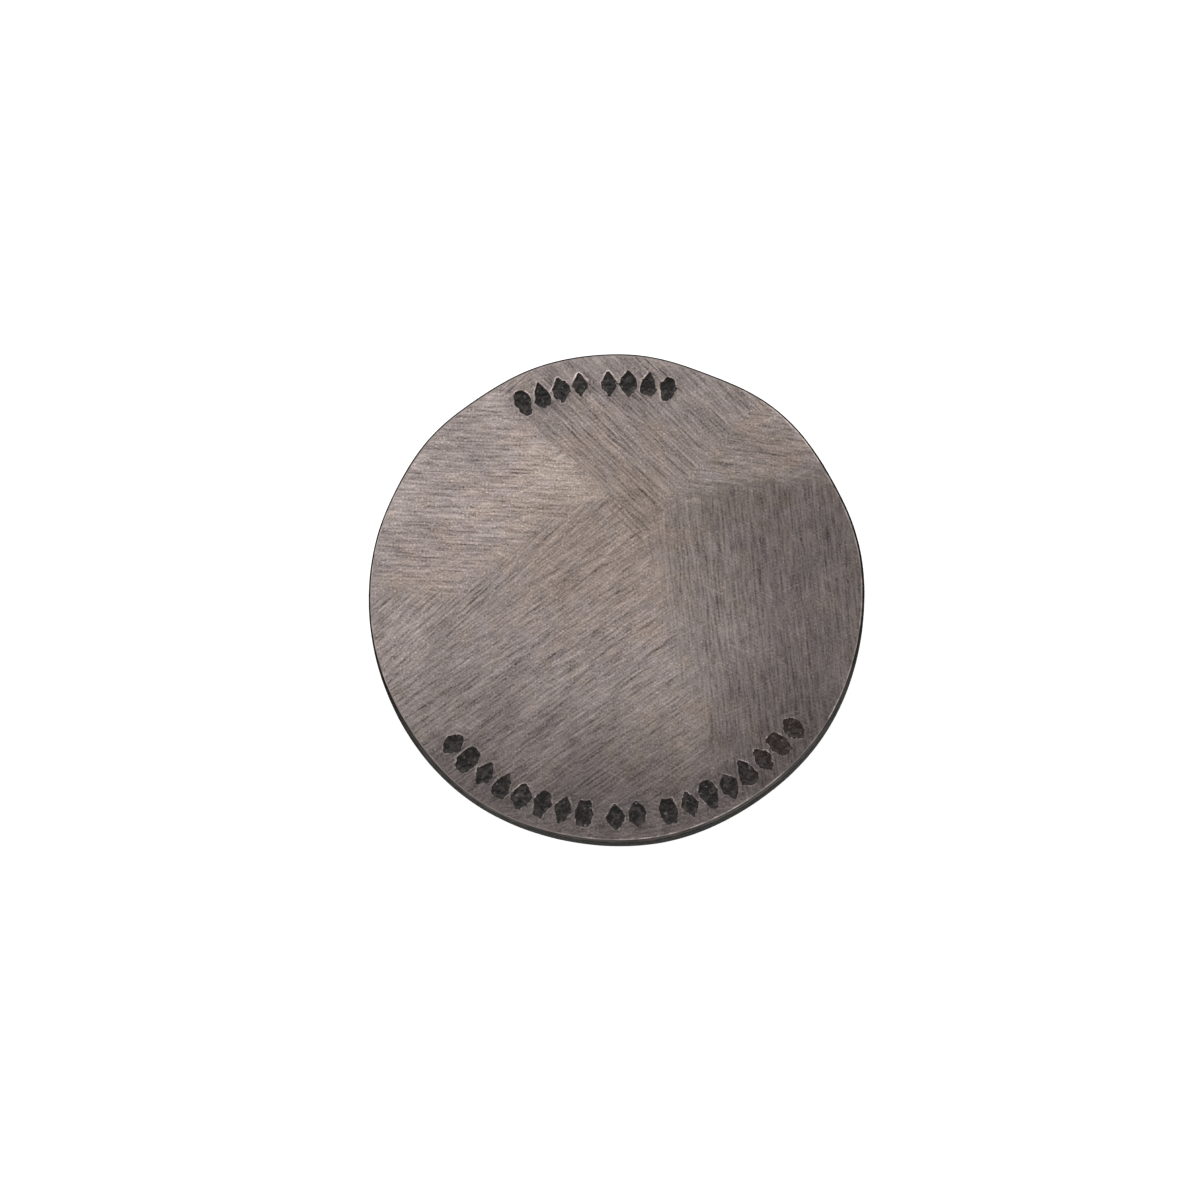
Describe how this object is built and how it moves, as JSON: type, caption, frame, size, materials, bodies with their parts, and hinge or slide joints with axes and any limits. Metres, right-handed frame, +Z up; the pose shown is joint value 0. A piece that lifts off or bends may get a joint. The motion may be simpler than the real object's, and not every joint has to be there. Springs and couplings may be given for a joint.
{
  "type": "golf ball marker",
  "caption": "Small flat steel disc with a brushed, shallowly faceted face, a dark hand-filed edge and two curved rows of black-filled punched marks.",
  "frame": {"origin": "centre of the underside's box, on the face that the disc rests on", "axes": "+Z up through the thickness, out of the marked face; +Y towards the short row of marks; +X to the right as the marked face is read"},
  "size_m": [0.0254, 0.0254, 0.002],
  "materials": {
    "blackened_steel": "dark warm grey steel, brushed in several directions on the face, near-black and filed on the edge",
    "black_filling": "satin black enamel-like filling, slightly sunk, uneven"
  },
  "bodies": {
    "root": {"steel_disc": "blackened_steel", "upper_infill_01": "black_filling", "upper_infill_02": "black_filling", "upper_infill_03": "black_filling", "upper_infill_04": "black_filling", "upper_infill_05": "black_filling", "upper_infill_06": "black_filling", "upper_infill_07": "black_filling", "upper_infill_08": "black_filling", "lower_infill_01": "black_filling", "lower_infill_02": "black_filling", "lower_infill_03": "black_filling", "lower_infill_04": "black_filling", "lower_infill_05": "black_filling", "lower_infill_06": "black_filling", "lower_infill_07": "black_filling", "lower_infill_08": "black_filling", "lower_infill_09": "black_filling", "lower_infill_10": "black_filling", "lower_infill_11": "black_filling", "lower_infill_12": "black_filling", "lower_infill_13": "black_filling", "lower_infill_14": "black_filling", "lower_infill_15": "black_filling", "lower_infill_16": "black_filling", "lower_infill_17": "black_filling", "lower_infill_18": "black_filling"}
  },
  "joints": []
}
